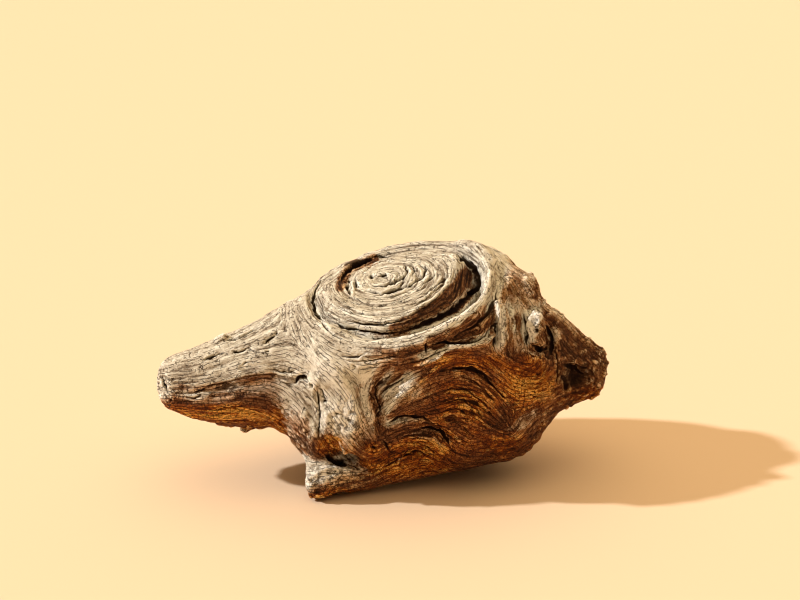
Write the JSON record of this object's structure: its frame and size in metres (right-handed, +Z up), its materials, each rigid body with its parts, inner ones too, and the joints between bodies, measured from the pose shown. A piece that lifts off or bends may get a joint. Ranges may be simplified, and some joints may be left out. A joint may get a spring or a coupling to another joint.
{
  "type": "gnarled olive wood",
  "caption": "Gnarled, weathered piece of olive wood: a stump with a spiralling healed knot on top, a branch stub, a broken stub and a low foot.",
  "frame": {"origin": "bottom centre of the bounding box, on the surface that the piece rests on", "axes": "+X along the piece from the branch stub to the broken stub, +Y from the front with the cleft to the back, +Z up out of the table"},
  "size_m": [0.2602, 0.1276, 0.1277],
  "materials": {
    "weathered_wood": "dry, weathered grey-brown wood, matt, warmer brown underneath"
  },
  "bodies": {
    "root": {"olive_wood": "weathered_wood"}
  },
  "joints": []
}
